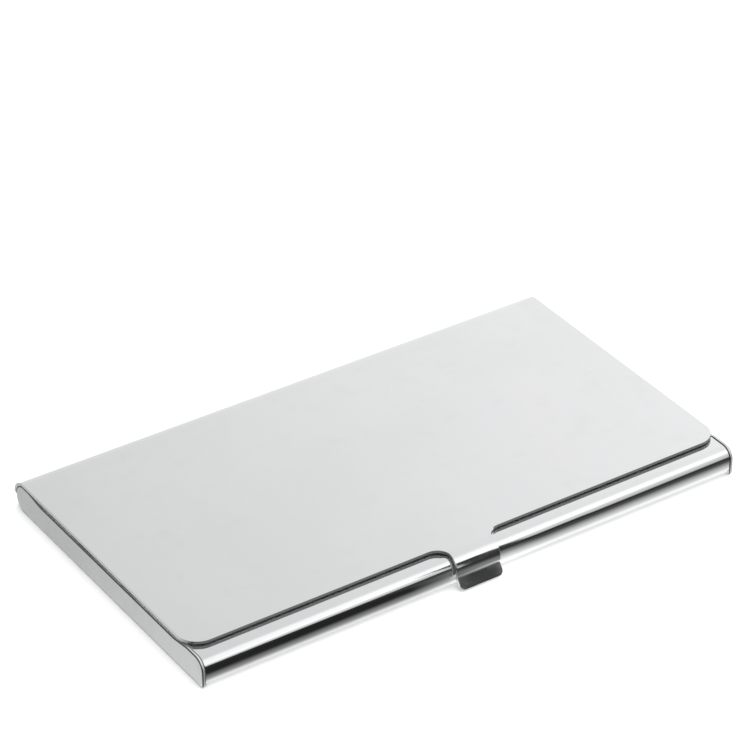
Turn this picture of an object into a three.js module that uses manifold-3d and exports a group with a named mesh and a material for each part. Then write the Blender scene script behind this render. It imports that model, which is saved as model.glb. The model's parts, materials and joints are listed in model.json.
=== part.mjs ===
// Business card case: a folded sheet-metal tray with a hinged lid. Millimetres, +Z up.
// +X runs along the hinge, -Y is the front, where the thumb tab is. The origin is the
// centre of the tray's underside. The lid is shut.
// Inside the model, y is counted from the front of the case, and the whole group is then
// moved back by half the depth.

import * as THREE from 'three';
import { mergeVertices } from 'three/addons/utils/BufferGeometryUtils.js';
import Module from 'manifold-3d';

// Driving dimensions
const CASE_LENGTH = 95;
const CASE_DEPTH = 55.2;
const CASE_HEIGHT = 5.25;
const SHEET = 0.4;
const LID_SHEET = 0.5;
const END_PLATE_THICKNESS = 0.6;
const HALF_LENGTH = CASE_LENGTH / 2;
const INNER_HALF_LENGTH = HALF_LENGTH - END_PLATE_THICKNESS;

// Front roll of the tray and the lip behind it
const ROLL_AXIS_Y = 2.05;
const ROLL_AXIS_Z = 2.7;
const ROLL_RADIUS = 1.85;
const END_PLATE_RIM = 0.1;
const FRONT_FOOT_RADIUS = 1.4;
const END_PLATE_FOOT_RADIUS = 0.5;
const SIDE_GAP_Z = 4.1;
const SIDE_GAP_FRONT_Y = 8;
const SIDE_GAP_REAR_Y = 47;
const SIDE_GAP_RISE = 3.5;
const LIP_DEPTH_MIDDLE = 11;
const LIP_DEPTH_ENDS = 19;
const LIP_END_WIDTH = 8.2;
const LIP_SWEEP_LENGTH = 14;
const LIP_TOP = ROLL_AXIS_Z + ROLL_RADIUS;

// Rear of the tray
const FLOOR_REAR_Y = 49.1;
const REAR_HEM_HEIGHT = 1.3;
const REAR_HEM_RADIUS = 0.6;

// Hinge
const HINGE_Y = 52.2;
const HINGE_Z = 2.25;
const CURL_RADIUS = CASE_HEIGHT - HINGE_Z;
const CURL_GAP = 0.08;
const CURL_END_ANGLE = -46;
const CURL_NOTCH_LENGTH = 14.5;
const CURL_NOTCH_Z = 2.0;
const PIN_RADIUS = 0.75;
const PIN_HEAD_RADIUS = 1.1;
const PIN_HEAD_THICKNESS = 0.3;
const PIN_LENGTH = 1.2;
const PIN_CLEARANCE = 0.1;
const PIN_SIDES = 32;

// Lid
const LID_FRONT_Y = 3.5;
const LID_CORNER_RADIUS = 3.5;
const TAB_CENTRE_X = -0.5;
const TAB_WIDTH = 7.7;
const TAB_BEND_Y = 1.85;
const TAB_FILLET = 2.4;
const TAB_WRAP_ANGLE = 18;
const FLARE_ANGLE = 36;
const FLARE_BEND_RADIUS = 0.3;
const FLARE_LENGTH = 1.92;
const FLARE_CORNER_RADIUS = 1;
const LID_UNDERSIDE = CASE_HEIGHT - LID_SHEET;

// Brackets that carry the lid on the pins
const BRACKET_LENGTH = 11;
const EAR_GAP = 0.4;
const EAR_RADIUS = 1.5;
const BEAD_RADIUS = 0.9;
const BEAD_AXIS_Y = 51.3;
const BRACKET_FOOT = 1.5;
const BRACKET_GAP = 0.03;

// Card guides
const GUIDE_X = 44.95;
const GUIDE_FRONT_Y = 2.6;
const GUIDE_REAR_Y = 48.1;
const GUIDE_TOP = 4.05;
const GUIDE_BEND_RADIUS = 0.8;

const ARC_STEPS = 7;
const SAME_PLACE = 1e-6;
const CUT_MARGIN = 2;
const CUT_HEIGHT = CASE_HEIGHT + 2 * CUT_MARGIN;

const wasm = await Module();
wasm.setup();

const radians = THREE.MathUtils.degToRad;

// ---- helpers ----

// Points along a centre line. Where a straight meets an arc, only one of two equal points is kept.
function distinctPoints(centreLine) {
  const points = centreLine.getPoints(ARC_STEPS);
  return points.filter((point, i) => i === 0 || point.distanceTo(points[i - 1]) > SAME_PLACE);
}

// Outline of a strip of sheet that follows a centre line, with square ends.
function sheetOutline(centreLine, thickness) {
  const points = distinctPoints(centreLine);
  const left = [];
  const right = [];
  points.forEach((point, i) => {
    const before = points[Math.max(i - 1, 0)];
    const after = points[Math.min(i + 1, points.length - 1)];
    const into = (i === 0 ? after.clone().sub(point) : point.clone().sub(before)).normalize();
    const out = (i === points.length - 1 ? into.clone() : after.clone().sub(point)).normalize();
    const along = into.clone().add(out).normalize();
    const reach = thickness / 2 / along.dot(into);
    const side = new THREE.Vector2(-along.y, along.x).multiplyScalar(reach);
    left.push(point.clone().add(side));
    right.unshift(point.clone().sub(side));
  });
  return new THREE.Shape([...left, ...right]);
}

function extrude(shape, depth) {
  return new THREE.ExtrudeGeometry(shape, { depth, bevelEnabled: false, curveSegments: 2 * ARC_STEPS });
}

// A section drawn in (y, z), extruded along X between two places, in either order.
function extrudeAlongX(shape, xa, xb) {
  const turn = new THREE.Matrix4().makeBasis(
    new THREE.Vector3(0, 1, 0),
    new THREE.Vector3(0, 0, 1),
    new THREE.Vector3(1, 0, 0),
  );
  return extrude(shape, Math.abs(xb - xa)).applyMatrix4(turn).translate(Math.min(xa, xb), 0, 0);
}

// A plan drawn in (x, y), extruded along +Z from z0 to z1.
function extrudeAlongZ(shape, z0, z1) {
  return extrude(shape, z1 - z0).translate(0, 0, z0);
}

// A front view drawn in (x, z), extruded along -Y from y0 to y1.
function extrudeAlongY(shape, y0, y1) {
  return extrude(shape, y0 - y1).rotateX(Math.PI / 2).translate(0, y0, 0);
}

function box(x0, x1, y0, y1, z0, z1) {
  const centre = [(x0 + x1) / 2, (y0 + y1) / 2, (z0 + z1) / 2];
  return new THREE.BoxGeometry(x1 - x0, y1 - y0, z1 - z0).translate(...centre);
}

function solid(geometry) {
  const bare = geometry.clone();
  bare.deleteAttribute('normal');
  bare.deleteAttribute('uv');
  const merged = mergeVertices(bare);
  const vertProperties = new Float32Array(merged.attributes.position.array);
  const triVerts = new Uint32Array(merged.index.array);
  return new wasm.Manifold(new wasm.Mesh({ numProp: 3, vertProperties, triVerts }));
}

function geometryOf(manifold) {
  const mesh = manifold.getMesh();
  const geometry = new THREE.BufferGeometry();
  geometry.setAttribute('position', new THREE.BufferAttribute(mesh.vertProperties, 3));
  geometry.setIndex(new THREE.BufferAttribute(mesh.triVerts, 1));
  geometry.computeVertexNormals();
  return geometry;
}

function cut(geometry, cutters) {
  return geometryOf(cutters.reduce((body, cutter) => body.subtract(solid(cutter)), solid(geometry)));
}

function join(first, second) {
  return geometryOf(solid(first).add(solid(second)));
}

function steel(colour, roughness) {
  return new THREE.MeshStandardMaterial({ color: colour, roughness, metalness: 1 });
}

function addPiece(group, name, geometry, material) {
  const mesh = new THREE.Mesh(geometry, material);
  mesh.name = name;
  group.add(mesh);
}

// ---- tray ----

// The tray is one sheet: a hem at the rear, the floor, the front roll and the lip.
function trayShell() {
  const half = SHEET / 2;
  const rollRadius = ROLL_RADIUS - half;
  const footRadius = FRONT_FOOT_RADIUS - half;
  const frontY = ROLL_AXIS_Y - rollRadius;
  const hemY = FLOOR_REAR_Y - half;
  const hemRadius = REAR_HEM_RADIUS - half;
  const line = new THREE.Path();
  line.moveTo(hemY, REAR_HEM_HEIGHT);
  line.lineTo(hemY, half + hemRadius);
  line.absarc(hemY - hemRadius, half + hemRadius, hemRadius, 0, -Math.PI / 2, true);
  line.lineTo(frontY + footRadius, half);
  line.absarc(frontY + footRadius, half + footRadius, footRadius, -Math.PI / 2, -Math.PI, true);
  line.lineTo(frontY, ROLL_AXIS_Z);
  line.absarc(ROLL_AXIS_Y, ROLL_AXIS_Z, rollRadius, Math.PI, Math.PI / 2, true);
  line.lineTo(LIP_DEPTH_ENDS, LIP_TOP - half);
  const sheet = extrudeAlongX(sheetOutline(line, SHEET), -INNER_HALF_LENGTH, INNER_HALF_LENGTH);
  const opening = extrudeAlongZ(lipOpening(), GUIDE_TOP, LIP_TOP + CUT_MARGIN);
  return cut(sheet, [opening]);
}

// Plan of what is cut out of the lip's rear edge, with an elliptical sweep at each end.
function lipOpening() {
  const cornerX = INNER_HALF_LENGTH - LIP_END_WIDTH;
  const sweepX = cornerX - LIP_SWEEP_LENGTH;
  const sweepDepth = LIP_DEPTH_ENDS - LIP_DEPTH_MIDDLE;
  const rearY = LIP_DEPTH_ENDS + CUT_MARGIN;
  const plan = new THREE.Shape();
  plan.moveTo(-cornerX, rearY);
  plan.lineTo(-cornerX, LIP_DEPTH_ENDS);
  const quarter = Math.PI / 2;
  plan.absellipse(-sweepX, LIP_DEPTH_ENDS, LIP_SWEEP_LENGTH, sweepDepth, 2 * quarter, 3 * quarter, false);
  plan.lineTo(sweepX, LIP_DEPTH_MIDDLE);
  plan.absellipse(sweepX, LIP_DEPTH_ENDS, LIP_SWEEP_LENGTH, sweepDepth, 3 * quarter, 4 * quarter, false);
  plan.lineTo(cornerX, rearY);
  return plan;
}

// The end plate stands a little proud of the roll, and its rear is round about the hinge.
// Its top edge dips along the side, which leaves a slot under the lid.
function endPlate(side) {
  const rollRadius = ROLL_RADIUS + END_PLATE_RIM;
  const rearRadius = CURL_RADIUS - LID_SHEET - CURL_GAP;
  const frontY = ROLL_AXIS_Y - rollRadius;
  const topZ = ROLL_AXIS_Z + rollRadius;
  const topAngle = Math.asin((topZ - HINGE_Z) / rearRadius);
  const bottomAngle = -Math.asin(HINGE_Z / rearRadius);
  const shape = new THREE.Shape();
  const foot = END_PLATE_FOOT_RADIUS;
  shape.absarc(frontY + foot, foot, foot, Math.PI, 1.5 * Math.PI, false);
  shape.absarc(HINGE_Y, HINGE_Z, rearRadius, bottomAngle, topAngle, false);
  shape.lineTo(SIDE_GAP_REAR_Y + SIDE_GAP_RISE, topZ);
  shape.lineTo(SIDE_GAP_REAR_Y, SIDE_GAP_Z);
  shape.lineTo(SIDE_GAP_FRONT_Y, SIDE_GAP_Z);
  shape.lineTo(SIDE_GAP_FRONT_Y - SIDE_GAP_RISE, topZ);
  shape.absarc(ROLL_AXIS_Y, ROLL_AXIS_Z, rollRadius, Math.PI / 2, Math.PI, false);
  return extrudeAlongX(shape, side * INNER_HALF_LENGTH, side * HALF_LENGTH);
}

// A strip on edge, which keeps the cards off the end plate. Its rear end turns out to meet the plate.
function cardGuide(side) {
  const bendX = side * (GUIDE_X + GUIDE_BEND_RADIUS);
  const bendY = GUIDE_REAR_Y - GUIDE_BEND_RADIUS;
  const startAngle = side > 0 ? Math.PI : 0;
  const line = new THREE.Path();
  line.moveTo(side * GUIDE_X, GUIDE_FRONT_Y);
  line.lineTo(side * GUIDE_X, bendY);
  line.absarc(bendX, bendY, GUIDE_BEND_RADIUS, startAngle, Math.PI / 2, side > 0);
  line.lineTo(side * INNER_HALF_LENGTH, GUIDE_REAR_Y);
  return extrudeAlongZ(sheetOutline(line, SHEET), SHEET, GUIDE_TOP);
}

// A stub pin on the inside of an end plate, with a head that keeps the ear on it.
function hingePin(side) {
  const profile = [
    new THREE.Vector2(0, 0),
    new THREE.Vector2(PIN_RADIUS, 0),
    new THREE.Vector2(PIN_RADIUS, PIN_LENGTH - PIN_HEAD_THICKNESS),
    new THREE.Vector2(PIN_HEAD_RADIUS, PIN_LENGTH - PIN_HEAD_THICKNESS),
    new THREE.Vector2(PIN_HEAD_RADIUS, PIN_LENGTH),
    new THREE.Vector2(0, PIN_LENGTH),
  ];
  const pin = new THREE.LatheGeometry(profile, PIN_SIDES);
  return pin.rotateZ(side * Math.PI / 2).translate(side * INNER_HALF_LENGTH, HINGE_Y, HINGE_Z);
}

// ---- lid ----

// Section of the thumb flare: the tab wraps past the front of the roll, then folds outwards.
function thumbFlare() {
  const tabRadius = LID_UNDERSIDE + LID_SHEET / 2 - ROLL_AXIS_Z;
  const wrap = radians(TAB_WRAP_ANGLE);
  const flare = radians(FLARE_ANGLE);
  const reach = tabRadius + FLARE_BEND_RADIUS;
  const bendY = TAB_BEND_Y - reach * Math.cos(wrap);
  const bendZ = ROLL_AXIS_Z - reach * Math.sin(wrap);
  const topY = bendY + FLARE_BEND_RADIUS * Math.cos(flare);
  const topZ = bendZ - FLARE_BEND_RADIUS * Math.sin(flare);
  const tipY = topY - FLARE_LENGTH * Math.sin(flare);
  const tipZ = topZ - FLARE_LENGTH * Math.cos(flare);
  return { tabRadius, wrap, flare, bendY, bendZ, topY, topZ, tipY, tipZ };
}

// The lid is one sheet: thumb flare, tab over the roll, flat panel and the rear curl.
function lidShell() {
  const half = LID_SHEET / 2;
  const panelZ = CASE_HEIGHT - half;
  const { tabRadius, wrap, flare, bendY, bendZ, topY, topZ, tipY, tipZ } = thumbFlare();
  const line = new THREE.Path();
  line.moveTo(tipY, tipZ);
  line.lineTo(topY, topZ);
  line.absarc(bendY, bendZ, FLARE_BEND_RADIUS, -flare, wrap, false);
  line.absarc(TAB_BEND_Y, ROLL_AXIS_Z, tabRadius, Math.PI + wrap, Math.PI / 2, true);
  line.lineTo(HINGE_Y, panelZ);
  line.absarc(HINGE_Y, HINGE_Z, CURL_RADIUS - half, Math.PI / 2, radians(CURL_END_ANGLE), true);
  const sheet = extrudeAlongX(sheetOutline(line, LID_SHEET), -HALF_LENGTH, HALF_LENGTH);
  const notchX = HALF_LENGTH - CURL_NOTCH_LENGTH;
  const outX = HALF_LENGTH + CUT_MARGIN;
  const rearY = CASE_DEPTH + CUT_MARGIN;
  return cut(sheet, [
    extrudeAlongZ(beyondTab(1), -CUT_MARGIN, CUT_HEIGHT - CUT_MARGIN),
    extrudeAlongZ(beyondTab(-1), -CUT_MARGIN, CUT_HEIGHT - CUT_MARGIN),
    extrudeAlongY(flareCorner(1), LID_FRONT_Y, -CUT_MARGIN),
    extrudeAlongY(flareCorner(-1), LID_FRONT_Y, -CUT_MARGIN),
    box(notchX, outX, HINGE_Y, rearY, -CUT_MARGIN, CURL_NOTCH_Z),
    box(-outX, -notchX, HINGE_Y, rearY, -CUT_MARGIN, CURL_NOTCH_Z),
  ]);
}

// Plan of what is cut from the lid's front on one side of the tab, up to the rounded corner.
function beyondTab(side) {
  const tabX = TAB_CENTRE_X + side * TAB_WIDTH / 2;
  const filletX = tabX + side * TAB_FILLET;
  const cornerX = side * (HALF_LENGTH - LID_CORNER_RADIUS);
  const outX = side * (HALF_LENGTH + CUT_MARGIN);
  const frontY = -CUT_MARGIN - TAB_FILLET;
  const cornerY = LID_FRONT_Y + LID_CORNER_RADIUS;
  const onRight = side > 0;
  const filletY = LID_FRONT_Y - TAB_FILLET;
  const plan = new THREE.Shape();
  plan.moveTo(tabX, frontY);
  plan.lineTo(tabX, filletY);
  plan.absarc(filletX, filletY, TAB_FILLET, onRight ? Math.PI : 0, Math.PI / 2, onRight);
  plan.absarc(cornerX, cornerY, LID_CORNER_RADIUS, -Math.PI / 2, onRight ? 0 : -Math.PI, !onRight);
  plan.lineTo(outX, cornerY);
  plan.lineTo(outX, frontY);
  return plan;
}

// Front view of what rounds one lower corner of the thumb flare.
function flareCorner(side) {
  const { flare, tipZ } = thumbFlare();
  const bottomZ = tipZ - LID_SHEET / 2 * Math.sin(flare);
  const edgeX = TAB_CENTRE_X + side * TAB_WIDTH / 2;
  const centreX = edgeX - side * FLARE_CORNER_RADIUS;
  const centreZ = bottomZ + FLARE_CORNER_RADIUS;
  const view = new THREE.Shape();
  view.moveTo(centreX, bottomZ - CUT_MARGIN);
  view.absarc(centreX, centreZ, FLARE_CORNER_RADIUS, -Math.PI / 2, side > 0 ? 0 : -Math.PI, side < 0);
  view.lineTo(edgeX + side * CUT_MARGIN, centreZ);
  view.lineTo(edgeX + side * CUT_MARGIN, bottomZ - CUT_MARGIN);
  return view;
}

// Bracket under one end of the lid: a foot, a half-round bead and an ear with the hinge hole.
function hingeBracket(side) {
  const half = SHEET / 2;
  const topZ = LID_UNDERSIDE - BRACKET_GAP;
  const outerX = INNER_HALF_LENGTH - EAR_GAP;
  const beadRadius = BEAD_RADIUS - half;
  const beadStart = Math.PI + Math.asin(half / beadRadius);
  const footY = BEAD_AXIS_Y + beadRadius * Math.cos(beadStart);
  const line = new THREE.Path();
  line.moveTo(footY - BRACKET_FOOT, topZ - half);
  line.lineTo(footY, topZ - half);
  line.absarc(BEAD_AXIS_Y, topZ, beadRadius, beadStart, 2 * Math.PI, false);
  const strip = extrudeAlongX(sheetOutline(line, SHEET), side * (outerX - BRACKET_LENGTH), side * outerX);
  const ear = new THREE.Shape();
  ear.moveTo(HINGE_Y - EAR_RADIUS, topZ - SHEET);
  ear.absarc(HINGE_Y, HINGE_Z, EAR_RADIUS, Math.PI, 2 * Math.PI + radians(60), false);
  ear.lineTo(HINGE_Y - half, topZ - half);
  const hole = new THREE.Path();
  hole.absarc(HINGE_Y, HINGE_Z, PIN_RADIUS + PIN_CLEARANCE, 0, 2 * Math.PI, true);
  ear.holes.push(hole);
  return join(strip, extrudeAlongX(ear, side * (outerX - SHEET), side * outerX));
}

// ---- assembly ----

const caseGroup = new THREE.Group();
caseGroup.position.y = -CASE_DEPTH / 2;

const tray = new THREE.Group();
const lid = new THREE.Group();
caseGroup.add(tray, lid);

addPiece(tray, 'tray_shell', trayShell(), steel(0xd3d5d6, 0.12));
addPiece(lid, 'lid_shell', lidShell(), steel(0xdcdedf, 0.12));
for (const [hand, side] of [['left', -1], ['right', 1]]) {
  addPiece(tray, `end_plate_${hand}`, endPlate(side), steel(0xb4b8ba, 0.18));
  addPiece(tray, `card_guide_${hand}`, cardGuide(side), steel(0xc4c8c9, 0.2));
  addPiece(tray, `hinge_pin_${hand}`, hingePin(side), steel(0xc9ccce, 0.25));
  addPiece(lid, `hinge_bracket_${hand}`, hingeBracket(side), steel(0xcdd1d2, 0.2));
}

export default caseGroup;
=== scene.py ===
import json
import math

import bmesh
import bpy
from mathutils import Matrix, Vector


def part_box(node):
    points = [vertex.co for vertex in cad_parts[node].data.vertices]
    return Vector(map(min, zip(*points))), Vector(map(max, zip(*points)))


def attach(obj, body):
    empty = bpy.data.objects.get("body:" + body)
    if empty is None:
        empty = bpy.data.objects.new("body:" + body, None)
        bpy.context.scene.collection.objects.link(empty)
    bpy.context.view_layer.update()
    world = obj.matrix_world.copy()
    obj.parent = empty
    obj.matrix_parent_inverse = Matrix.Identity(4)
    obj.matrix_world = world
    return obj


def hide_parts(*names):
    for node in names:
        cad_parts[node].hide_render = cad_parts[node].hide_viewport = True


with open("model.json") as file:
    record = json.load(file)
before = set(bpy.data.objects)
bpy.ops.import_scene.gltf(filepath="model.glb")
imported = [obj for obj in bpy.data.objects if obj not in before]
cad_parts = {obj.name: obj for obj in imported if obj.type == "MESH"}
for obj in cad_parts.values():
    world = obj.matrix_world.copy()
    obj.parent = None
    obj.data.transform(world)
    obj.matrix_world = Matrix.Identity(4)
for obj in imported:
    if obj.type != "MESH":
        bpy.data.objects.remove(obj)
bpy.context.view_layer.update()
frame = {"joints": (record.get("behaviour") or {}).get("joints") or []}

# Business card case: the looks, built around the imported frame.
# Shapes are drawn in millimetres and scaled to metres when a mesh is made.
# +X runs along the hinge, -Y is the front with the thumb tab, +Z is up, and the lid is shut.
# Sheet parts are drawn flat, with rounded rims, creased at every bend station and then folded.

MM = 0.001


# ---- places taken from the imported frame, in millimetres ----

def corner(node, which):
    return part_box(node)[which] / MM


HINGE = Vector(frame["joints"][0]["pos_m"]) / MM
FRONT_Y = -corner("lid_shell", 1).y
HALF_LENGTH = corner("end_plate_right", 1).x
INNER_HALF_LENGTH = corner("end_plate_right", 0).x
LID_TOP = corner("lid_shell", 1).z
LIP_TOP = corner("tray_shell", 1).z
LIP_REAR_Y = FRONT_Y + 19.0
TRAY_FRONT_Y = corner("tray_shell", 0).y
GUIDE_REAR_GAP = 0.8
HEM_REAR_Y = corner("card_guide_right", 1).y + GUIDE_REAR_GAP
GUIDE_TOP = corner("card_guide_right", 1).z
GUIDE_INNER_X = corner("card_guide_right", 0).x
GUIDE_FRONT_Y = corner("card_guide_right", 0).y
EAR_OUTER_X = corner("hinge_bracket_right", 1).x
BRACKET_INNER_X = corner("hinge_bracket_right", 0).x
BRACKET_TOP = corner("hinge_bracket_right", 1).z

# ---- sheet and bends ----
SHEET = 0.4
HALF_SHEET = SHEET / 2
LID_SHEET = 0.5
HALF_LID_SHEET = LID_SHEET / 2
PLATE = HALF_LENGTH - INNER_HALF_LENGTH
ROLL_Y = FRONT_Y + 2.05
ROLL_Z = 2.7
ROLL_RADIUS = LIP_TOP - ROLL_Z
PLATE_RIM = 0.1
FOOT_RADIUS = 1.4
PLATE_FOOT_RADIUS = 0.5
SIDE_GAP_Z = 4.1
SIDE_GAP_FRONT_Y = FRONT_Y + 8.0
SIDE_GAP_REAR_Y = FRONT_Y + 47.0
SIDE_GAP_RISE = 3.5
SIDE_GAP_ROUND = 6.0
SIDE_GAP_END_ROUND = 3.0
HEM_RADIUS = 0.6
HEM_TOP = 1.3
LIP_SWEEP_DEPTH = 8.0
LIP_SWEEP_LENGTH = 14.0
LIP_END_WIDTH = 8.2
LIP_CORNER = 0.5
LIP_SWEEP_OVERLAP = 5

# ---- lid, with the stretch of painted shade on its front edge measured along the flat pattern ----
CURL_RADIUS = -FRONT_Y - HINGE.y
CURL_GAP = 0.08
CURL_TURN = 136.0
CURL_NOTCH_TURN = 95.1
CURL_NOTCH_LENGTH = 14.5
CURL_CORNER = 0.6
CURL_NOTCH_CORNER = 0.5
LID_FRONT_Y = FRONT_Y + 3.5
LID_CORNER = 3.5
TAB_X = -0.5
TAB_HALF_WIDTH = 3.85
TAB_BEND_Y = FRONT_Y + 1.85
TAB_FILLET = 2.4
TAB_WRAP = 18.0
FLARE_ANGLE = 36.0
FLARE_BEND = 0.3
FLARE_LENGTH = 1.92
FLARE_CORNER = 0.9
# Where painted shade darkens the lid's rim, in flat-pattern millimetres, and how dark it gets.
EDGE_DARK_LEFT = 5.0
EDGE_DARK_RIGHT = 8.0
EDGE_DARK_END = 9.2
EDGE_FADE = 2.0
EDGE_DARK = 0.9
EDGE_SIDE_DARK = 0.28

# ---- brackets, guides and pins ----
EAR_RADIUS = 1.5
EAR_HOLE = 0.85
BEAD_RADIUS = 0.9
BEAD_Y = FRONT_Y + 51.3
BRACKET_FOOT = 1.5
BRACKET_FOOT_CORNER = 0.5
BRACKET_BEAD_CORNER = 0.35
GUIDE_BEND = 0.8
GUIDE_CORNER = 0.3
GUIDE_FRONT_CORNER = 0.5
PIN_RADIUS = 0.75
PIN_HEAD_RADIUS = 1.1
PIN_HEAD = 0.3
PIN_LENGTH = 1.2

# ---- mesh detail ----
RIM_ROUND = 0.07
PLATE_ROUND = 0.22
WEAR_BAND = 0.22
RIM_STEPS = 3
DEGREES_PER_FOLD = 5.0
DEGREES_PER_CORNER = 7.5
CREASE_SNAP = 1e-5
SAME_POINT = 1e-4


# ---- drawing helpers ----

def polar(centre, radius, degrees):
    angle = math.radians(degrees)
    return Vector((centre[0] + radius * math.cos(angle), centre[1] + radius * math.sin(angle)))


def arc(centre, radius, start, end, step=DEGREES_PER_CORNER):
    """Points on an arc in degrees, both ends included."""
    count = max(2, math.ceil(abs(end - start) / step))
    return [polar(centre, radius, start + (end - start) * i / count) for i in range(count + 1)]


def ellipse(centre, radii, start, end, count=24):
    points = []
    for i in range(count + 1):
        angle = math.radians(start + (end - start) * i / count)
        across = radii[0] * math.cos(angle)
        points.append(Vector((centre[0] + across, centre[1] + radii[1] * math.sin(angle))))
    return points


def rounded(corners):
    """A closed outline from (x, y, radius) corners. A radius of 0 keeps the corner as it is."""
    points = []
    for i, (x, y, radius) in enumerate(corners):
        here = Vector((x, y))
        if radius == 0:
            points.append(here)
            continue
        back = (Vector(corners[i - 1][:2]) - here).normalized()
        ahead = (Vector(corners[(i + 1) % len(corners)][:2]) - here).normalized()
        half_angle = math.acos(max(-1.0, min(1.0, back.dot(ahead)))) / 2
        centre = here + (back + ahead).normalized() * (radius / math.sin(half_angle))
        first = here + back * (radius / math.tan(half_angle)) - centre
        last = here + ahead * (radius / math.tan(half_angle)) - centre
        turn = last.angle_signed(first)
        count = max(2, math.ceil(math.degrees(abs(turn)) / DEGREES_PER_CORNER))
        for k in range(count + 1):
            points.append(centre + Matrix.Rotation(turn * k / count, 2) @ first)
    return points


class Section:
    """The line that the middle of a bent sheet follows, made of straight runs and arcs."""

    def __init__(self, start, heading):
        self.parts = []
        self.folds = []
        self.length = 0.0
        self.point = Vector(start)
        self.heading = heading

    def run(self, length):
        self.parts.append((self.length, self.point.copy(), self.heading, 0.0, length))
        self.point += polar((0, 0), length, self.heading)
        self.length += length
        return self

    def bend(self, radius, turn):
        """Turns left by turn degrees, or right where turn is negative."""
        side = math.copysign(1.0, turn)
        length = abs(math.radians(turn)) * radius
        count = max(2, math.ceil(abs(turn) / DEGREES_PER_FOLD))
        self.folds += [self.length + length * i / count for i in range(count + 1)]
        self.parts.append((self.length, self.point.copy(), self.heading, side / radius, length))
        centre = self.point + polar((0, 0), radius, self.heading + side * 90)
        self.heading += turn
        self.point = centre + polar((0, 0), radius, self.heading - side * 90)
        self.length += length
        return self

    def at(self, distance):
        """Place, direction and left-hand normal at a distance along the line."""
        part = self.parts[0]
        for candidate in self.parts:
            if candidate[0] <= distance + 1e-9:
                part = candidate
        start, point, heading, curvature, _ = part
        along = distance - start
        degrees = heading + math.degrees(along * curvature)
        if curvature:
            side = math.copysign(1.0, curvature)
            centre = point + polar((0, 0), 1 / abs(curvature), heading + side * 90)
            place = centre + polar((0, 0), 1 / abs(curvature), degrees - side * 90)
        else:
            place = point + polar((0, 0), along, heading)
        return place, polar((0, 0), 1, degrees), polar((0, 0), 1, degrees + 90)


def clean(points):
    """Drops repeated points and makes the outline run anticlockwise."""
    kept = [p for i, p in enumerate(points) if (p - points[i - 1]).length > SAME_POINT]
    area = sum(p.x * kept[i - 1].y - p.y * kept[i - 1].x for i, p in enumerate(kept))
    return kept if area < 0 else kept[::-1]


def inset(points, distance):
    """The outline moved inwards by a distance."""
    moved = []
    for i, p in enumerate(points):
        into = (p - points[i - 1]).normalized()
        out = (points[(i + 1) % len(points)] - p).normalized()
        middle = (into + out).normalized()
        reach = distance / max(0.3, middle.dot(into))
        moved.append(p + Vector((-middle.y, middle.x)) * reach)
    return moved


def outward(points):
    """Outward directions at the outline's points, which lean towards the longer edge."""
    found = []
    for i, p in enumerate(points):
        edges = (p - points[i - 1]) + (points[(i + 1) % len(points)] - p)
        found.append(Vector((edges.y, -edges.x)).normalized())
    return found


def rim_profile(thickness, radius):
    """(inset, height, share of outward in the normal) for rings from top face to bottom face."""
    half = thickness / 2
    top = [(radius + WEAR_BAND, half, 0.0)]
    for i in range(RIM_STEPS + 1):
        angle = math.radians(90 * i / RIM_STEPS)
        share = math.sin(angle)
        height = half - radius * (1 - math.cos(angle))
        top.append((radius * (1 - share), height, share))
    if radius >= half:
        top[-1] = (0.0, 0.0, 1.0)
        return top + [(d, -h, n) for d, h, n in top[-2::-1]]
    return top + [(d, -h, n) for d, h, n in top[::-1]]


def bright_edge(point, share):
    """(light, painted shade) tone of a rim: a bare, light edge all round."""
    return share ** 4, 0.0


def lined_edge(point, share):
    """A light edge between two lines of painted shade, standing in for the dark reflections in its rounded
    corners.
    """
    return share ** 6, min(1.0, 2.4 * share * math.sqrt(1 - share * share))


def flat_sheet(outline, thickness, radius, tones=bright_edge):
    """A flat sheet with round rims. x and y are the flat pattern and z is the thickness."""
    bm = bmesh.new()
    lean = bm.verts.layers.float_vector.new("lean")
    light = bm.verts.layers.float.new("edge_light")
    # This layer holds painted shade for the rims.
    dark = bm.verts.layers.float.new("edge_painted_shade")
    inside = bm.verts.layers.float.new("inside_face")
    points = clean(outline)
    sides = outward(points)
    rings = []
    for distance, height, share in rim_profile(thickness, radius):
        ring = []
        for point, side in zip(inset(points, distance), sides):
            vert = bm.verts.new((point.x, point.y, height))
            up = math.copysign(math.sqrt(max(0.0, 1 - share * share)), height)
            vert[lean] = (side.x * share, side.y * share, up)
            vert[light], vert[dark] = tones(point, share)
            vert[inside] = 1.0 if height < 0 else 0.0
            ring.append(vert)
        rings.append(ring)
    bm.faces.new(rings[0])
    bm.faces.new(rings[-1][::-1])
    count = len(points)
    for upper, lower in zip(rings, rings[1:]):
        for i in range(count):
            bm.faces.new((upper[i - 1], upper[i], lower[i], lower[i - 1]))
    return bm


def crease(bm, folds):
    """Cuts a flat sheet across at each bend station, so that it can fold there."""
    for station in folds:
        everything = bm.verts[:] + bm.edges[:] + bm.faces[:]
        bmesh.ops.bisect_plane(
            bm, geom=everything, dist=CREASE_SNAP,
            plane_co=(0, station, 0), plane_no=(0, 1, 0),
        )


def lengthwise(u, a, b):
    """Bends run along X: the section is drawn in (y, z)."""
    return Vector((u, a, b))


def upright(u, a, b):
    """Bends run along Z: the section is drawn in (y, x)."""
    return Vector((b, a, u))


def fold(bm, section, place):
    """Folds a creased flat sheet along its section, and returns the normals of its vertices."""
    lean = bm.verts.layers.float_vector["lean"]
    normals = []
    for vert in bm.verts:
        u, s, h = vert.co
        point, along, left = section.at(s)
        spot = point + left * h
        n = vert[lean]
        turned = along * n.y + left * n.z
        normals.append(place(n.x, turned.x, turned.y).normalized())
        vert.co = place(u, spot.x, spot.y) * MM
    bmesh.ops.recalc_face_normals(bm, faces=bm.faces[:])
    return normals


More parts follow.
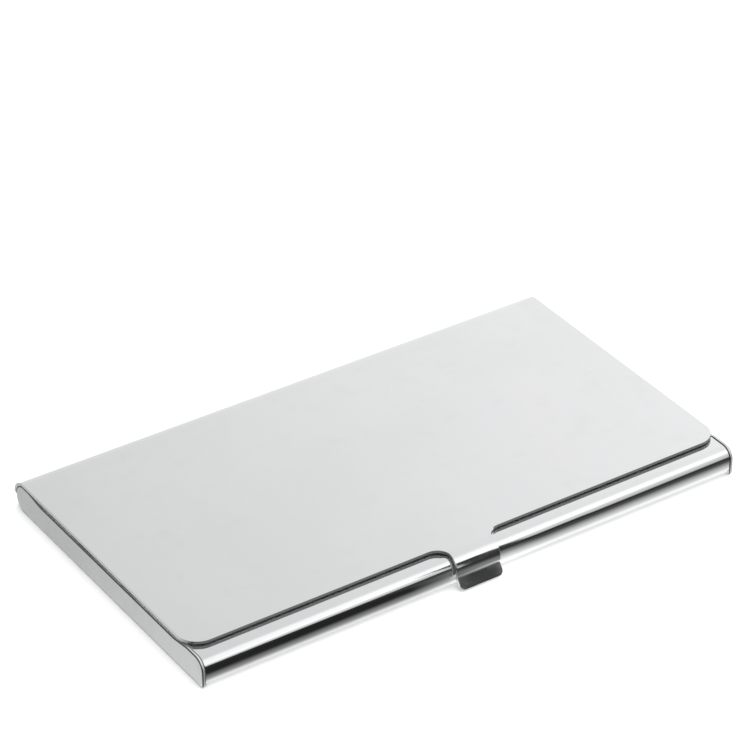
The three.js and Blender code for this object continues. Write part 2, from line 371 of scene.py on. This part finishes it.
def mesh_object(name, bm, normals=None):
    mesh = bpy.data.meshes.new(name)
    for face in bm.faces:
        face.smooth = True
    bm.to_mesh(mesh)
    bm.free()
    if normals:
        mesh.normals_split_custom_set_from_vertices(normals)
    piece = bpy.data.objects.new(name, mesh)
    bpy.context.scene.collection.objects.link(piece)
    return piece


def folded_sheet(name, outline, section, place, thickness=SHEET, radius=RIM_ROUND, tones=bright_edge):
    bm = flat_sheet(outline, thickness, radius, tones)
    crease(bm, section.folds)
    return mesh_object(name, bm, fold(bm, section, place))


# ---- tray ----

def tray_section():
    centre_radius = ROLL_RADIUS - HALF_SHEET
    foot = FOOT_RADIUS - HALF_SHEET
    hem = HEM_RADIUS - HALF_SHEET
    hem_y = HEM_REAR_Y - HALF_SHEET
    front_y = TRAY_FRONT_Y + HALF_SHEET
    section = Section((hem_y, HEM_TOP), -90)
    section.run(HEM_TOP - HEM_RADIUS).bend(hem, -90)
    section.run(hem_y - hem - front_y - foot).bend(foot, -90)
    section.run(ROLL_Z - FOOT_RADIUS).bend(centre_radius, -90)
    section.run(LIP_REAR_Y - ROLL_Y)
    return section


def tray_outline(length):
    corner_x = INNER_HALF_LENGTH - LIP_END_WIDTH
    sweep_x = corner_x - LIP_SWEEP_LENGTH
    radii = (LIP_SWEEP_LENGTH, LIP_SWEEP_DEPTH)
    right = ellipse((sweep_x, length), radii, -90, -LIP_SWEEP_OVERLAP)
    left = ellipse((-sweep_x, length), radii, 180 + LIP_SWEEP_OVERLAP, 270)
    wide = INNER_HALF_LENGTH
    ends = rounded([
        (-wide, length, LIP_CORNER),
        (-wide, 0, LIP_CORNER),
        (wide, 0, LIP_CORNER),
        (wide, length, LIP_CORNER),
    ])
    right_tip = arc((corner_x + LIP_CORNER, length - LIP_CORNER), LIP_CORNER, 90, 180)
    left_tip = arc((-corner_x - LIP_CORNER, length - LIP_CORNER), LIP_CORNER, 0, 90)
    return ends + right_tip + right[::-1] + left[::-1] + left_tip


def tray_shell():
    section = tray_section()
    return folded_sheet("tray_shell_skin", tray_outline(section.length), section, lengthwise)


def plate_outline():
    """Outline of an end plate as (z, y)."""
    roll = ROLL_RADIUS + PLATE_RIM
    rear = CURL_RADIUS - LID_SHEET - CURL_GAP
    top_angle = math.degrees(math.asin((ROLL_Z + roll - HINGE.z) / rear))
    low_angle = -math.degrees(math.asin(HINGE.z / rear))
    front_y = ROLL_Y - roll
    foot = PLATE_FOOT_RADIUS
    points = arc((front_y + foot, foot), foot, 180, 270)
    points += arc((HINGE.y, HINGE.z), rear, low_angle, top_angle)[:-1]
    top_z = ROLL_Z + roll
    rear_y = HINGE.y + rear * math.cos(math.radians(top_angle))
    points += rounded([
        (rear_y, top_z, 0.0),
        (SIDE_GAP_REAR_Y + SIDE_GAP_RISE, top_z, SIDE_GAP_END_ROUND),
        (SIDE_GAP_REAR_Y, SIDE_GAP_Z, SIDE_GAP_ROUND),
        (SIDE_GAP_FRONT_Y, SIDE_GAP_Z, SIDE_GAP_ROUND),
        (SIDE_GAP_FRONT_Y - SIDE_GAP_RISE, top_z, SIDE_GAP_ROUND),
        (ROLL_Y, top_z, 0.0),
    ])
    points += arc((ROLL_Y, ROLL_Z), roll, 90, 180)[1:]
    return [Vector((p.y, p.x)) for p in points]


def end_plate(hand, side):
    middle = side * (INNER_HALF_LENGTH + HALF_LENGTH) / 2
    section = Section((0, middle), 0).run(HINGE.y * 2)
    name = f"end_plate_{hand}_skin"
    return folded_sheet(name, plate_outline(), section, upright, PLATE, PLATE_ROUND, lined_edge)


def card_guide(hand, side):
    bend = GUIDE_BEND
    x = GUIDE_INNER_X + HALF_SHEET
    rear_y = HEM_REAR_Y - GUIDE_REAR_GAP - HALF_SHEET
    section = Section((GUIDE_FRONT_Y, side * x), 0)
    section.run(rear_y - bend - GUIDE_FRONT_Y).bend(bend, side * 90)
    section.run(INNER_HALF_LENGTH - x - bend)
    outline = rounded([
        (SHEET, 0, GUIDE_CORNER),
        (GUIDE_TOP, 0, GUIDE_FRONT_CORNER),
        (GUIDE_TOP, section.length, GUIDE_CORNER),
        (SHEET, section.length, GUIDE_CORNER),
    ])
    return folded_sheet(f"card_guide_{hand}_skin", outline, section, upright)


# ---- pins ----

def pin_profile():
    """(radius, distance from the plate) with rounded corners on the shank and the head."""
    head = PIN_LENGTH - PIN_HEAD
    outline = [Vector((0, 0)), Vector((PIN_RADIUS, 0))]
    outline += arc((PIN_RADIUS + 0.06, head - 0.06), 0.06, 180, 90, 30)
    outline += arc((PIN_HEAD_RADIUS - 0.08, head + 0.08), 0.08, -90, 0, 15)
    outline += arc((PIN_HEAD_RADIUS - 0.14, PIN_LENGTH - 0.14), 0.14, 0, 90, 15)
    outline += [
        Vector((0.35, PIN_LENGTH)),
        Vector((0.25, PIN_LENGTH - 0.05)),
        Vector((0, PIN_LENGTH - 0.07)),
    ]
    return outline


def hinge_pin(hand, side, turns=48):
    bm = bmesh.new()
    rows = []
    for radius, distance in pin_profile():
        x = side * (INNER_HALF_LENGTH - distance)
        if radius < 1e-6:
            rows.append([bm.verts.new((x * MM, HINGE.y * MM, HINGE.z * MM))])
            continue
        ring = [polar((HINGE.y, HINGE.z), radius, 360 * i / turns) for i in range(turns)]
        rows.append([bm.verts.new((x * MM, p.x * MM, p.y * MM)) for p in ring])
    for near, far in zip(rows, rows[1:]):
        for i in range(turns):
            low = [near[i - 1], near[i]] if len(near) > 1 else near
            high = [far[i], far[i - 1]] if len(far) > 1 else far
            bm.faces.new(low + high)
    bmesh.ops.recalc_face_normals(bm, faces=bm.faces[:])
    piece = mesh_object(f"hinge_pin_{hand}_turned", bm)
    keep_flats_flat(piece)
    return piece


def keep_flats_flat(piece):
    modifier = piece.modifiers.new("flats", "WEIGHTED_NORMAL")
    modifier.keep_sharp = True


# ---- lid ----

def lid_section():
    """The tab wraps past the front of the roll and then folds outwards into the thumb flare."""
    tab_radius = LID_TOP - HALF_LID_SHEET - ROLL_Z
    fold_centre = polar((TAB_BEND_Y, ROLL_Z), tab_radius + FLARE_BEND, 180 + TAB_WRAP)
    flare_top = polar(fold_centre, FLARE_BEND, -FLARE_ANGLE)
    tip = polar(flare_top, FLARE_LENGTH, 270 - FLARE_ANGLE)
    section = Section(tip, 90 - FLARE_ANGLE)
    section.run(FLARE_LENGTH).bend(FLARE_BEND, FLARE_ANGLE + TAB_WRAP)
    section.bend(tab_radius, -90 - TAB_WRAP).run(HINGE.y - TAB_BEND_Y)
    section.bend(CURL_RADIUS - HALF_LID_SHEET, -CURL_TURN)
    return section


def lid_outline(length):
    curl_radius = CURL_RADIUS - HALF_LID_SHEET
    hinge_s = length - math.radians(CURL_TURN) * curl_radius
    front_s = hinge_s - (HINGE.y - LID_FRONT_Y)
    notch_s = hinge_s + math.radians(CURL_NOTCH_TURN) * curl_radius
    notch_x = HALF_LENGTH - CURL_NOTCH_LENGTH
    left = TAB_X - TAB_HALF_WIDTH
    right = TAB_X + TAB_HALF_WIDTH
    return rounded([
        (left, 0, FLARE_CORNER),
        (right, 0, FLARE_CORNER),
        (right, front_s, TAB_FILLET),
        (HALF_LENGTH, front_s, LID_CORNER),
        (HALF_LENGTH, notch_s, CURL_CORNER),
        (notch_x, notch_s, CURL_NOTCH_CORNER),
        (notch_x, length, CURL_CORNER),
        (-notch_x, length, CURL_CORNER),
        (-notch_x, notch_s, CURL_NOTCH_CORNER),
        (-HALF_LENGTH, notch_s, CURL_CORNER),
        (-HALF_LENGTH, front_s, LID_CORNER),
        (left, front_s, TAB_FILLET),
    ])


def lid_edge(point, share):
    """Painted shade on the lid's edge: dark at the front and a little dark at the sides, standing in for
    the shaded gap under the lid and its reflection; light on the flare.
    """
    start = EDGE_DARK_LEFT if point.x < TAB_X else EDGE_DARK_RIGHT
    if point.y < start:
        return share ** 4, 0.0
    past = min(1.0, max(0.0, (point.y - EDGE_DARK_END) / EDGE_FADE))
    dark = EDGE_DARK + (EDGE_SIDE_DARK - EDGE_DARK) * past
    return 0.0, dark * share


def lid_shell():
    section = lid_section()
    outline = lid_outline(section.length)
    return folded_sheet("lid_shell_skin", outline, section, lengthwise, LID_SHEET, RIM_ROUND, lid_edge)


def bracket_strip(side):
    middle = BEAD_RADIUS - HALF_SHEET
    start = math.degrees(math.pi + math.asin(HALF_SHEET / middle))
    foot_y = BEAD_Y + middle * math.cos(math.radians(start))
    section = Section((foot_y - BRACKET_FOOT, BRACKET_TOP - HALF_SHEET), 0)
    section.run(BRACKET_FOOT)
    section.heading = start + 90
    section.bend(middle, 360 - start)
    ends = sorted((side * BRACKET_INNER_X, side * EAR_OUTER_X))
    outline = rounded([
        (ends[0], 0, BRACKET_FOOT_CORNER),
        (ends[1], 0, BRACKET_FOOT_CORNER),
        (ends[1], section.length, BRACKET_BEAD_CORNER),
        (ends[0], section.length, BRACKET_BEAD_CORNER),
    ])
    bm = flat_sheet(outline, SHEET, RIM_ROUND)
    crease(bm, section.folds)
    fold(bm, section, lengthwise)
    return mesh_object("bracket_strip", bm)


def bracket_ear(side):
    """The ear drawn as (z, y); its round hole for the pin is cut later in hinge_bracket."""
    outline = [Vector((HINGE.y - EAR_RADIUS, BRACKET_TOP - SHEET))]
    outline += arc((HINGE.y, HINGE.z), EAR_RADIUS, 180, 420)
    outline.append(Vector((HINGE.y - HALF_SHEET, BRACKET_TOP - HALF_SHEET)))
    turned = [Vector((p.y, p.x)) for p in outline]
    middle = side * (EAR_OUTER_X - HALF_SHEET)
    section = Section((0, middle), 0).run(HINGE.y * 2)
    bm = flat_sheet(turned, SHEET, RIM_ROUND)
    fold(bm, section, upright)
    return mesh_object("bracket_ear", bm)


def ear_hole(side):
    bm = bmesh.new()
    turn = Matrix.Rotation(math.radians(90), 4, "Y")
    place = Matrix.Translation((side * EAR_OUTER_X * MM, HINGE.y * MM, HINGE.z * MM))
    bmesh.ops.create_cone(
        bm, cap_ends=True, segments=48, radius1=EAR_HOLE * MM, radius2=EAR_HOLE * MM,
        depth=4 * SHEET * MM, matrix=place @ turn,
    )
    return mesh_object("bracket_hole", bm)


def combine(target, other, operation):
    modifier = target.modifiers.new(operation.lower(), "BOOLEAN")
    modifier.operation = operation
    modifier.solver = "EXACT"
    modifier.object = other
    graph = bpy.context.evaluated_depsgraph_get()
    made = bpy.data.meshes.new_from_object(target.evaluated_get(graph))
    target.modifiers.clear()
    target.data = made
    bpy.data.objects.remove(other)


def hinge_bracket(hand, side):
    piece = bracket_strip(side)
    combine(piece, bracket_ear(side), "UNION")
    combine(piece, ear_hole(side), "DIFFERENCE")
    piece.name = f"hinge_bracket_{hand}_formed"
    piece.data.name = piece.name
    piece.data.shade_smooth()
    piece.data.set_sharp_from_angle(angle=math.radians(35))
    keep_flats_flat(piece)
    return piece


# ---- materials ----

def node(tree, kind, **inputs):
    made = tree.nodes.new(kind)
    for name, value in inputs.items():
        made.inputs[name.replace("_", " ")].default_value = value
    return made


def stretched(tree, scale, turn=0.0):
    """Object coordinates, turned about Z and stretched, for grain that runs one way."""
    place = tree.nodes.new("ShaderNodeTexCoord")
    mapping = tree.nodes.new("ShaderNodeMapping")
    mapping.inputs["Rotation"].default_value = (0, 0, math.radians(turn))
    mapping.inputs["Scale"].default_value = scale
    tree.links.new(place.outputs["Object"], mapping.inputs["Vector"])
    return mapping.outputs["Vector"]


def noise(tree, vector, scale, detail=3.0, roughness=0.55):
    made = node(tree, "ShaderNodeTexNoise", Scale=scale, Detail=detail, Roughness=roughness)
    tree.links.new(vector, made.inputs["Vector"])
    return made.outputs["Fac"]


def feed(tree, socket, value):
    """Sets a socket to a number, or links another node's output to it."""
    if isinstance(value, (int, float)):
        socket.default_value = value
    else:
        tree.links.new(value, socket)


def remap(tree, value, low, high, to_low, to_high):
    made = tree.nodes.new("ShaderNodeMapRange")
    names = ("Value", "From Min", "From Max", "To Min", "To Max")
    for name, given in zip(names, (value, low, high, to_low, to_high)):
        feed(tree, made.inputs[name], given)
    return made.outputs["Result"]


def combine_values(tree, operation, first, second):
    made = tree.nodes.new("ShaderNodeMath")
    made.operation = operation
    feed(tree, made.inputs[0], first)
    feed(tree, made.inputs[1], second)
    return made.outputs["Value"]


def blend_colours(tree, factor, first, second):
    made = tree.nodes.new("ShaderNodeMix")
    made.data_type = "RGBA"
    tree.links.new(factor, made.inputs["Factor"])
    for name, value in (("A", first), ("B", second)):
        socket = [s for s in made.inputs if s.name == name and s.type == "RGBA"][0]
        if isinstance(value, tuple):
            socket.default_value = (*value, 1.0)
        else:
            tree.links.new(value, socket)
    return [s for s in made.outputs if s.type == "RGBA"][0]


def bump(tree, height, distance, below=None):
    made = node(tree, "ShaderNodeBump", Strength=1.0, Distance=distance)
    tree.links.new(height, made.inputs["Height"])
    if below is not None:
        tree.links.new(below, made.inputs["Normal"])
    return made.outputs["Normal"]


def hairlines(tree, turn, scale, threshold):
    """Thin scattered scratches, 1 on a scratch and 0 elsewhere."""
    lines = noise(tree, stretched(tree, (1.0, 40.0, 40.0), turn), scale, 1.0, 0.4)
    patches = noise(tree, stretched(tree, (1.0, 1.0, 1.0), turn), 160.0, 2.0)
    fine = remap(tree, lines, threshold, threshold + 0.06, 0.0, 1.0)
    return combine_values(tree, "MULTIPLY", fine, remap(tree, patches, 0.5, 0.62, 0.0, 1.0))


def edge_tone(tree, layer):
    made = tree.nodes.new("ShaderNodeAttribute")
    made.attribute_name = layer
    return made.outputs["Fac"]


# Colour of the painted shade on rims, which stands in for dark gaps and dark reflections.
PAINTED_SHADE_EDGE = (0.07, 0.075, 0.075)
STAIN_SHADE = 0.94
SCRATCH_ROUGHNESS = 0.12
WEAR_ROUGHNESS = 0.35
SCRATCH_DEPTH = 0.0004
INSIDE_METALLIC = 0.8


def steel(
    name, colour, tint, shine, grain_scale, grain_depth, wave_depth, wear_colour,
    metallic=1.0, inside_roughness=0.0,
):
    """Bare steel. shine is (low, high) roughness, and depths are in millimetres."""
    material = bpy.data.materials.new(name)
    material.use_nodes = True
    tree = material.node_tree
    tree.nodes.clear()
    output = tree.nodes.new("ShaderNodeOutputMaterial")
    shader = node(tree, "ShaderNodeBsdfPrincipled", Metallic=metallic)
    tree.links.new(shader.outputs["BSDF"], output.inputs["Surface"])

    even = stretched(tree, (1.0, 1.0, 1.0))
    grain = noise(tree, stretched(tree, grain_scale), 1000.0, 4.0, 0.6)
    clouds = noise(tree, even, 55.0, 3.0)
    smudges = noise(tree, even, 210.0, 5.0, 0.65)
    waves = noise(tree, even, 70.0, 1.5, 0.4)
    scratches = combine_values(
        tree, "MAXIMUM",
        hairlines(tree, 14.0, 130.0, 0.66),
        hairlines(tree, -31.0, 110.0, 0.68),
    )
    uneven = remap(tree, smudges, 0.3, 0.6, 0.5, 1.0)
    wear = combine_values(tree, "MULTIPLY", edge_tone(tree, "edge_light"), uneven)
    # Painted shade on the rims, masked per vertex, is mixed into the base colour below.
    painted_rim_shade = edge_tone(tree, "edge_painted_shade")

    toned = blend_colours(tree, remap(tree, clouds, 0.3, 0.7, 0.0, 1.0), colour, tint)
    stained = remap(tree, smudges, 0.52, 0.75, 0.0, 0.35)
    marked = blend_colours(tree, stained, toned, tuple(STAIN_SHADE * c for c in colour))
    edged = blend_colours(tree, wear, marked, wear_colour)
    tree.links.new(blend_colours(tree, painted_rim_shade, edged, PAINTED_SHADE_EDGE), shader.inputs["Base Color"])

    base = remap(tree, grain, 0.3, 0.7, shine[0], shine[1])
    smeared = combine_values(tree, "ADD", base, remap(tree, smudges, 0.45, 0.75, 0.0, 0.5 * shine[1]))
    cut = combine_values(tree, "MULTIPLY", scratches, SCRATCH_ROUGHNESS)
    scratched = combine_values(tree, "ADD", smeared, cut)
    rubbed = combine_values(tree, "MULTIPLY", wear, WEAR_ROUGHNESS)
    edge_rough = combine_values(tree, "ADD", scratched, rubbed)
    inside = edge_tone(tree, "inside_face")
    inner_rough = combine_values(tree, "MULTIPLY", inside, inside_roughness)
    tree.links.new(combine_values(tree, "ADD", edge_rough, inner_rough), shader.inputs["Roughness"])
    if inside_roughness:
        tree.links.new(remap(tree, inside, 0.0, 1.0, metallic, INSIDE_METALLIC), shader.inputs["Metallic"])

    surface = bump(tree, waves, wave_depth * MM)
    surface = bump(tree, grain, grain_depth * MM, surface)
    uncut = combine_values(tree, "SUBTRACT", 1.0, scratches)
    surface = bump(tree, uncut, SCRATCH_DEPTH * MM, surface)
    tree.links.new(surface, shader.inputs["Normal"])
    return material


def lid_steel():
    return steel("lid_polished_steel", (0.80, 0.82, 0.815), (0.83, 0.83, 0.84), (0.05, 0.11),
                 (0.5, 22.0, 22.0), 0.0003, 0.004, (0.92, 0.93, 0.94), inside_roughness=0.22)


def tray_steel():
    return steel("tray_polished_steel", (0.80, 0.81, 0.815), (0.83, 0.83, 0.835), (0.04, 0.09),
                 (0.5, 22.0, 22.0), 0.0002, 0.002, (0.92, 0.93, 0.94), inside_roughness=0.22)


def plate_steel():
    return steel("end_plate_satin_steel", (0.60, 0.625, 0.615), (0.64, 0.65, 0.65), (0.20, 0.32),
                 (20.0, 0.6, 22.0), 0.0012, 0.002, (0.90, 0.91, 0.92))


def inner_steel():
    return steel("inner_satin_steel", (0.70, 0.72, 0.72), (0.74, 0.75, 0.75), (0.18, 0.30),
                 (22.0, 0.6, 20.0), 0.0010, 0.002, (0.86, 0.88, 0.88), metallic=0.75)


def pin_steel():
    return steel("pin_turned_steel", (0.72, 0.74, 0.75), (0.78, 0.79, 0.80), (0.20, 0.30),
                 (30.0, 6.0, 6.0), 0.0010, 0.001, (0.88, 0.89, 0.90))


# ---- putting the pieces together ----

def finish_piece(piece, material, body, cad_node):
    piece.data.materials.clear()
    piece.data.materials.append(material)
    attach(piece, body)
    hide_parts(cad_node)


def build_case():
    plate = plate_steel()
    inner = inner_steel()
    pin = pin_steel()
    finish_piece(tray_shell(), tray_steel(), "tray", "tray_shell")
    finish_piece(lid_shell(), lid_steel(), "lid", "lid_shell")
    for hand, side in (("left", -1), ("right", 1)):
        finish_piece(end_plate(hand, side), plate, "tray", f"end_plate_{hand}")
        finish_piece(card_guide(hand, side), inner, "tray", f"card_guide_{hand}")
        finish_piece(hinge_pin(hand, side), pin, "tray", f"hinge_pin_{hand}")
        finish_piece(hinge_bracket(hand, side), inner, "lid", f"hinge_bracket_{hand}")


# ---- stage ----

FLOOR_HALF = 4000.0
FLOOR_Z = -0.05
TABLE_Z = FLOOR_Z + 0.02
TABLE_NEAR_Y = FRONT_Y + 1.3
FRONT_TABLE_LEFT = -66
FRONT_TABLE_RIGHT = 110
FRONT_TABLE_DEPTH = 90
SIDE_TABLE_LEFT = -160
SIDE_TABLE_RIGHT = -HALF_LENGTH - 0.05
SIDE_TABLE_REAR_Y = 120
DARK_CARD = [(-62, -39, 0), (61, -99, 0), (61, -99, 8), (-62, -39, 8.5)]
DARK_TALL_CARD = [(25, -81.4, 0), (43, -90.2, 0), (43, -90.2, 52), (25, -81.4, 52)]
GREY_CARD = [(-2, -139, 0), (104, -79, 0), (104, -79, 53), (-2, -139, 50)]


def stage_grid(name, corners, steps, material):
    """A stage surface from four corners in millimetres, divided into a grid."""
    a, b, c, d = (Vector(p) * MM for p in corners)
    bm = bmesh.new()
    rows = []
    for i in range(steps + 1):
        row = []
        for k in range(steps + 1):
            near = a.lerp(b, k / steps)
            far = d.lerp(c, k / steps)
            row.append(bm.verts.new(near.lerp(far, i / steps)))
        rows.append(row)
    for low, high in zip(rows, rows[1:]):
        for k in range(steps):
            bm.faces.new((low[k], low[k + 1], high[k + 1], high[k]))
    piece = mesh_object(name, bm)
    piece.data.materials.append(material)
    return piece


def floor_paper():
    """Matt white paper with a slight tooth."""
    material = bpy.data.materials.new("floor_paper")
    material.use_nodes = True
    tree = material.node_tree
    shader = tree.nodes["Principled BSDF"]
    shader.inputs["Roughness"].default_value = 0.9
    shader.inputs["Specular IOR Level"].default_value = 0.0
    tooth = noise(tree, stretched(tree, (1.0, 1.0, 1.0)), 2500.0, 3.0)
    spread = remap(tree, tooth, 0.3, 0.7, 0.0, 1.0)
    shade = blend_colours(tree, spread, (0.93, 0.93, 0.93), (0.96, 0.96, 0.96))
    tree.links.new(shade, shader.inputs["Base Color"])
    return material


def only_reflected(piece):
    """A card that the camera doesn't see, and that steel reflects."""
    piece.visible_camera = False
    piece.visible_diffuse = False
    piece.visible_shadow = False
    piece.visible_transmission = False


def glow(name, build):
    """An emitting material whose brightness build(tree) gives."""
    material = bpy.data.materials.new(name)
    material.use_nodes = True
    tree = material.node_tree
    tree.nodes.clear()
    output = tree.nodes.new("ShaderNodeOutputMaterial")
    light = tree.nodes.new("ShaderNodeEmission")
    tree.links.new(build(tree), light.inputs["Strength"])
    tree.links.new(light.outputs["Emission"], output.inputs["Surface"])
    return material


def split_place(tree, output="Object"):
    place = tree.nodes.new("ShaderNodeTexCoord")
    parts = tree.nodes.new("ShaderNodeSeparateXYZ")
    tree.links.new(place.outputs[output], parts.inputs["Vector"])
    return parts.outputs["X"], parts.outputs["Y"], parts.outputs["Z"]


TABLE_WHITE = 1.06
TABLE_DARK = 0.02


def front_table_brightness(tree):
    """Painted reflection for the steel: white by the case and dark further out, with a later edge and a
    longer tail to the right.
    """
    x, y, _ = split_place(tree)
    ahead = combine_values(tree, "SUBTRACT", FRONT_Y * MM, y)
    near_edge = remap(tree, x, -0.005, 0.004, -0.0007, 0.0010)
    far_edge = remap(tree, x, -0.005, 0.008, 0.0025, 0.0029)
    white = remap(tree, ahead, near_edge, far_edge, TABLE_WHITE, TABLE_DARK)
    tail = remap(tree, ahead, 0.003, 0.012, 0.26, 0.06)
    on_right = combine_values(
        tree, "MULTIPLY",
        remap(tree, x, -0.010, 0.002, 0.0, 1.0),
        remap(tree, x, 0.006, 0.014, 1.0, 0.25),
    )
    return combine_values(tree, "ADD", white, combine_values(tree, "MULTIPLY", tail, on_right))


# Painted reflection for the steel: darkest at the foot, brighter higher up.
def grey_card_brightness(tree):
    _, _, z = split_place(tree)
    foot = remap(tree, z, 0.0005, 0.008, 0.03, 0.56)
    return combine_values(tree, "ADD", foot, remap(tree, z, 0.010, 0.055, 0.0, 0.38))


# A near-black painted reflection for the steel.
def dark_card_brightness(tree):
    _, _, z = split_place(tree)
    return remap(tree, z, 0.0, 0.012, 0.03, 0.035)


# Painted shade for the steel to mirror beside the left end: brighter towards the front, darker towards the
# rear.
def side_table_brightness(tree):
    _, y, _ = split_place(tree)
    return remap(tree, y, -0.026, 0.010, 0.92, 0.70)


def level_corners(left, right, near, far, level):
    return [(left, near, level), (right, near, level), (right, far, level), (left, far, level)]


# The floor is seen by the camera. The cards are seen only in the steel, and their glow paints the
# reflections it shows: white floor, shade and dark surroundings.
def build_stage():
    half = FLOOR_HALF
    stage_grid("floor", level_corners(-half, half, -half, half, FLOOR_Z), 8, floor_paper())
    front = level_corners(
        FRONT_TABLE_LEFT, FRONT_TABLE_RIGHT, TABLE_NEAR_Y - FRONT_TABLE_DEPTH, TABLE_NEAR_Y, TABLE_Z,
    )
    only_reflected(stage_grid("front_table", front, 8, glow("front_table_glow", front_table_brightness)))
    side = level_corners(SIDE_TABLE_LEFT, SIDE_TABLE_RIGHT, TABLE_NEAR_Y, SIDE_TABLE_REAR_Y, TABLE_Z)
    only_reflected(stage_grid("side_table", side, 8, glow("side_table_glow", side_table_brightness)))
    dark_glow = glow("dark_card_glow", dark_card_brightness)
    only_reflected(stage_grid("dark_card", DARK_CARD, 4, dark_glow))
    only_reflected(stage_grid("dark_tall_card", DARK_TALL_CARD, 4, dark_glow))
    only_reflected(stage_grid("grey_card", GREY_CARD, 4, glow("grey_card_glow", grey_card_brightness)))


TENT_MIDDLE = 0.47
TENT_SLOPE = 1.3
TENT_BRIGHTNESS = 0.93
TENT_LEAST = 0.70
TENT_MOST = 1.02
TENT_FRONT_WHITE = 0.36


def build_world():
    """A light tent: white in front, and a soft fall-off from right to left elsewhere."""
    world = bpy.data.worlds.new("light_tent")
    bpy.context.scene.world = world
    world.use_nodes = True
    tree = world.node_tree
    background = tree.nodes["Background"]
    x, y, z = split_place(tree, "Generated")
    from_middle = combine_values(tree, "SUBTRACT", x, TENT_MIDDLE)
    slope = combine_values(tree, "MULTIPLY", TENT_SLOPE, from_middle)
    behind = combine_values(tree, "ADD", TENT_BRIGHTNESS, slope)
    sloped = combine_values(tree, "ADD", behind, remap(tree, z, 0.50, 0.60, 0.04, -0.04))
    floored = combine_values(tree, "MAXIMUM", sloped, TENT_LEAST)
    capped = combine_values(tree, "MINIMUM", floored, TENT_MOST)
    ahead = remap(tree, y, -0.42, -0.08, 1.0, 0.0)
    white = combine_values(tree, "MULTIPLY", ahead, remap(tree, z, 0.30, 0.40, 0.0, 1.0))
    added = combine_values(tree, "MULTIPLY", white, TENT_FRONT_WHITE)
    brightness = combine_values(tree, "ADD", capped, added)
    tree.links.new(brightness, background.inputs["Strength"])
    background.inputs["Color"].default_value = (1.0, 1.0, 1.0, 1.0)


def area_light(name, place, size, power):
    light = bpy.data.lights.new(name, "AREA")
    light.shape = "DISK"
    light.size = size
    light.energy = power
    lamp = bpy.data.objects.new(name, light)
    lamp.location = place
    lamp.rotation_euler = (-Vector(place)).to_track_quat("-Z", "Y").to_euler()
    lamp.visible_glossy = False
    bpy.context.scene.collection.objects.link(lamp)


def build_lights():
    area_light("overhead_softbox", (0.15, 0.05, 0.9), 0.8, 5.0)
    area_light("front_softbox", (-0.35, -0.55, 0.6), 0.6, 2.0)


# ---- camera ----

CAMERA_AZIMUTH = -34.282
CAMERA_ELEVATION = 33.024
CAMERA_TARGET = (23.21, 17.28, 3.0)
CAMERA_DISTANCE = 569.95
CAMERA_LENS = 172.25
CAMERA_SHIFT = (-0.084, 0.0004)


def build_camera():
    azimuth = math.radians(CAMERA_AZIMUTH)
    elevation = math.radians(CAMERA_ELEVATION)
    back = Vector((
        math.sin(azimuth) * math.cos(elevation),
        -math.cos(azimuth) * math.cos(elevation),
        math.sin(elevation),
    ))
    right = Vector((0, 0, 1)).cross(back).normalized()
    up = back.cross(right)
    data = bpy.data.cameras.new("camera")
    data.lens = CAMERA_LENS
    data.sensor_width = 36.0
    data.shift_x, data.shift_y = CAMERA_SHIFT
    data.clip_start = 0.01
    data.clip_end = 50.0
    camera = bpy.data.objects.new("camera", data)
    place = Matrix((right, up, back)).transposed().to_4x4()
    place.translation = (Vector(CAMERA_TARGET) + back * CAMERA_DISTANCE) * MM
    camera.matrix_world = place
    bpy.context.scene.collection.objects.link(camera)
    bpy.context.scene.camera = camera


bpy.context.scene.view_settings.view_transform = "Standard"
build_camera()
build_case()
build_stage()
build_world()
build_lights()
